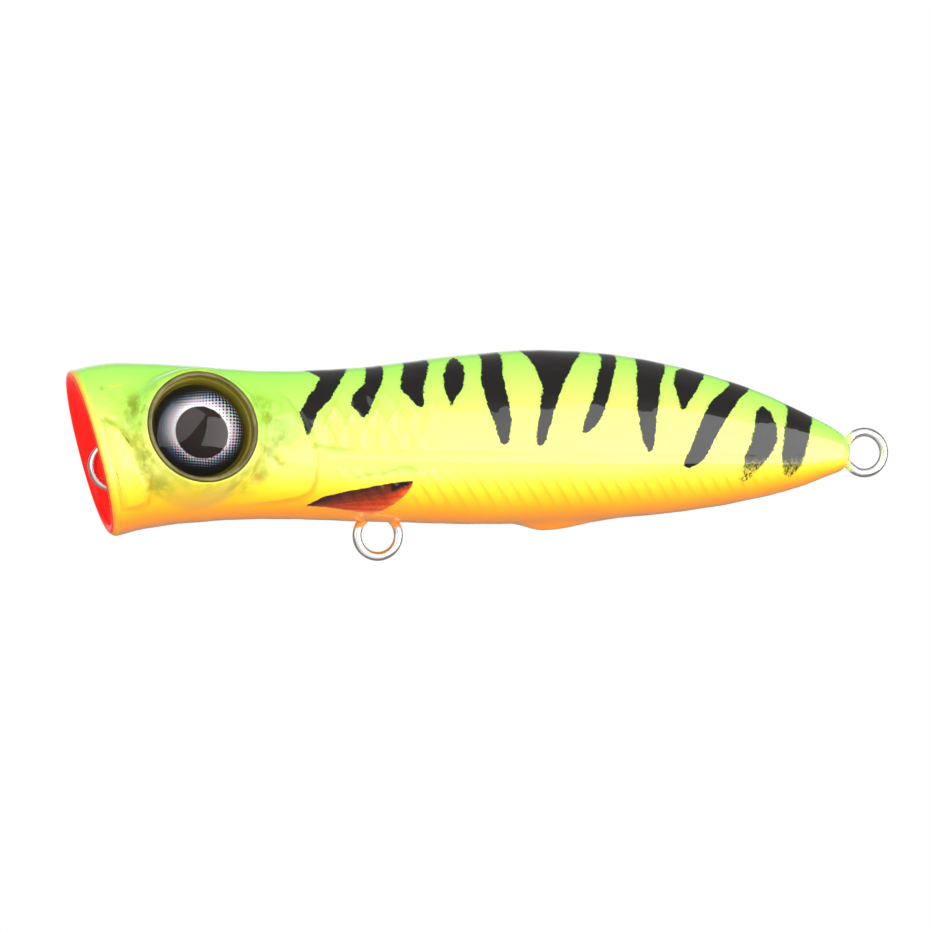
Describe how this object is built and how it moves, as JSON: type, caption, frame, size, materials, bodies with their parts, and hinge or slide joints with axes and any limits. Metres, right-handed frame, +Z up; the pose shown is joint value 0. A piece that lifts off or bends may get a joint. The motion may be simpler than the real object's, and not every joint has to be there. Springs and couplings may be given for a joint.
{
  "type": "topwater popper lure",
  "caption": "Hollow two-piece fishing popper with a cupped mouth, domed eyes, wire eyes for line and hooks, fixed ballast and loose rattle balls.",
  "frame": {"origin": "centre of the line tie's ring, in the mouth cup", "axes": "+X from the mouth to the tail, +Z up towards the back, the lure's left side faces -Y"},
  "size_m": [0.1126, 0.0262, 0.0281],
  "materials": {
    "body_paint": "clear-coated fluorescent spray paint on moulded ABS, green back, yellow sides, orange belly, black stripes, red mouth",
    "wire": "drawn and tumbled stainless wire",
    "eye_foil": "printed holographic foil with a dark pupil",
    "eye_lens": "clear cast epoxy dome",
    "ballast": "turned steel slug",
    "ball": "polished bearing ball"
  },
  "bodies": {
    "body": {"left_shell": "body_paint", "right_shell": "body_paint", "line_tie": "wire", "belly_hanger": "wire", "tail_hanger": "wire", "left_eye_foil": "eye_foil", "left_eye_lens": "eye_lens", "right_eye_foil": "eye_foil", "right_eye_lens": "eye_lens", "belly_weight": "ballast", "tail_weight": "ballast"},
    "knocker": {"knocker_ball": "ball"},
    "rattle_1": {"rattle_ball_1": "ball"},
    "rattle_2": {"rattle_ball_2": "ball"},
    "rattle_3": {"rattle_ball_3": "ball"}
  },
  "joints": [
    {"name": "knocker_slide", "type": "slide", "parent": "body", "child": "knocker", "axis": [1, 0, 0], "range_m": [0, 0.0078]},
    {"name": "rattle_1_slide", "type": "slide", "parent": "body", "child": "rattle_1", "axis": [1, 0, 0], "range_m": [0, 0.0082]},
    {"name": "rattle_2_slide", "type": "slide", "parent": "body", "child": "rattle_2", "axis": [1, 0, 0], "range_m": [0, 0.0082]},
    {"name": "rattle_3_slide", "type": "slide", "parent": "body", "child": "rattle_3", "axis": [1, 0, 0], "range_m": [0, 0.0082]}
  ],
  "couplings": [
    {"joint": "rattle_2_slide", "follows": "rattle_1_slide", "ratio": 1},
    {"joint": "rattle_3_slide", "follows": "rattle_1_slide", "ratio": 1}
  ]
}
